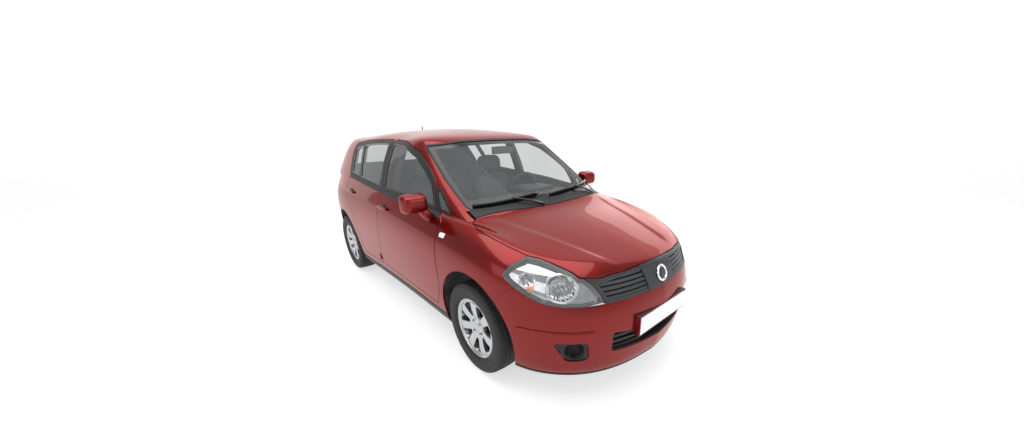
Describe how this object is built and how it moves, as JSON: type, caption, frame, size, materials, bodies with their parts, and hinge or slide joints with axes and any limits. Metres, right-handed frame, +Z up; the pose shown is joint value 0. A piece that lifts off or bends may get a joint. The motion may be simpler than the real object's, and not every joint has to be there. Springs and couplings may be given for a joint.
{
  "type": "five-door hatchback car",
  "caption": "Compact five-door hatchback with opening doors, hood, tailgate and fuel flap, steered front wheels and freely turning wheels.",
  "frame": {"origin": "on the ground at the middle of the car's length and width", "axes": "+X towards the front, +Y to the car's left, +Z up"},
  "size_m": [4.3051, 1.93, 1.57],
  "materials": {
    "paint": "metallic red, gloss",
    "trim": "black plastic, satin",
    "lamp": "clear lens",
    "tail_lamp": "red lens",
    "glass": "clear",
    "chassis": "black paint",
    "engine": "cast",
    "exhaust": "dull steel",
    "interior": "grained",
    "fabric": "woven",
    "tyre": "rubber",
    "alloy": "painted silver"
  },
  "bodies": {
    "body": {"body_shell": "paint", "windscreen": "glass", "quarter_glass": "glass", "cowl": "trim", "front_fenders": "paint", "headlamps": "lamp", "tail_lamps": "tail_lamp", "rear_bumper": "paint", "grille": "trim", "lower_grille": "trim", "front_bumper": "paint", "rear_axle": "chassis", "floor_pan": "chassis", "front_subframe": "chassis", "engine_block": "engine", "exhaust": "exhaust", "fuel_tank": "trim", "dashboard": "interior", "front_seats": "fabric", "rear_seat": "fabric", "antenna": "trim"},
    "front_door_left": {"front_door_left": "paint", "front_door_glass_left": "glass", "mirror_left": "paint"},
    "front_door_right": {"front_door_right": "paint", "front_door_glass_right": "glass", "mirror_right": "paint"},
    "rear_door_left": {"rear_door_left": "paint", "rear_door_glass_left": "glass"},
    "rear_door_right": {"rear_door_right": "paint", "rear_door_glass_right": "glass"},
    "hood": {"hood": "paint"},
    "tailgate": {"tailgate": "paint", "tailgate_glass": "glass"},
    "fuel_flap": {"fuel_flap": "paint"},
    "steering_wheel": {"steering_wheel": "interior"},
    "knuckle_left": {"front_knuckle_left": "chassis"},
    "knuckle_right": {"front_knuckle_right": "chassis"},
    "wheel_front_left": {"tyre_front_left": "tyre", "rim_front_left": "alloy"},
    "wheel_front_right": {"tyre_front_right": "tyre", "rim_front_right": "alloy"},
    "wheel_rear_left": {"tyre_rear_left": "tyre", "rim_rear_left": "alloy"},
    "wheel_rear_right": {"tyre_rear_right": "tyre", "rim_rear_right": "alloy"}
  },
  "joints": [
    {"name": "front_door_left_hinge", "type": "hinge", "parent": "body", "child": "front_door_left", "pos_m": [0.814, 0.825, 0.6], "axis": [0, 0, -1], "range_deg": [0, 68]},
    {"name": "rear_door_left_hinge", "type": "hinge", "parent": "body", "child": "rear_door_left", "pos_m": [-0.349, 0.825, 0.6], "axis": [0, 0, -1], "range_deg": [0, 68]},
    {"name": "front_door_right_hinge", "type": "hinge", "parent": "body", "child": "front_door_right", "pos_m": [0.814, -0.825, 0.6], "axis": [0, 0, 1], "range_deg": [0, 68]},
    {"name": "rear_door_right_hinge", "type": "hinge", "parent": "body", "child": "rear_door_right", "pos_m": [-0.349, -0.825, 0.6], "axis": [0, 0, 1], "range_deg": [0, 68]},
    {"name": "hood_hinge", "type": "hinge", "parent": "body", "child": "hood", "pos_m": [1.08, 0, 0.973], "axis": [0, -1, 0], "range_deg": [0, 55]},
    {"name": "tailgate_hinge", "type": "hinge", "parent": "body", "child": "tailgate", "pos_m": [-1.585, 0, 1.46], "axis": [0, 1, 0], "range_deg": [0, 80]},
    {"name": "fuel_flap_hinge", "type": "hinge", "parent": "body", "child": "fuel_flap", "pos_m": [-1.32, -0.838, 0.915], "axis": [0, 0, 1], "range_deg": [0, 85]},
    {"name": "steer_left", "type": "hinge", "parent": "body", "child": "knuckle_left", "pos_m": [1.2775, 0.69, 0.2], "axis": [0, -0.2122, 0.9772], "range_deg": [-33, 33]},
    {"name": "steer_right", "type": "hinge", "parent": "body", "child": "knuckle_right", "pos_m": [1.2775, -0.69, 0.2], "axis": [0, 0.2122, 0.9772], "range_deg": [-33, 33]},
    {"name": "spin_front_left", "type": "hinge", "parent": "knuckle_left", "child": "wheel_front_left", "pos_m": [1.2775, 0.74, 0.311], "axis": [0, 1, 0], "continuous": true},
    {"name": "spin_rear_left", "type": "hinge", "parent": "body", "child": "wheel_rear_left", "pos_m": [-1.3225, 0.74, 0.311], "axis": [0, 1, 0], "continuous": true},
    {"name": "spin_front_right", "type": "hinge", "parent": "knuckle_right", "child": "wheel_front_right", "pos_m": [1.2775, -0.74, 0.311], "axis": [0, 1, 0], "continuous": true},
    {"name": "spin_rear_right", "type": "hinge", "parent": "body", "child": "wheel_rear_right", "pos_m": [-1.3225, -0.74, 0.311], "axis": [0, 1, 0], "continuous": true},
    {"name": "steering_wheel_turn", "type": "hinge", "parent": "body", "child": "steering_wheel", "pos_m": [0.33, 0.37, 0.96], "axis": [-0.9135, 0, 0.4067], "range_deg": [-495, 495]}
  ],
  "couplings": [
    {"joint": "steer_right", "follows": "steer_left", "ratio": 1},
    {"joint": "steering_wheel_turn", "follows": "steer_left", "ratio": 15}
  ]
}
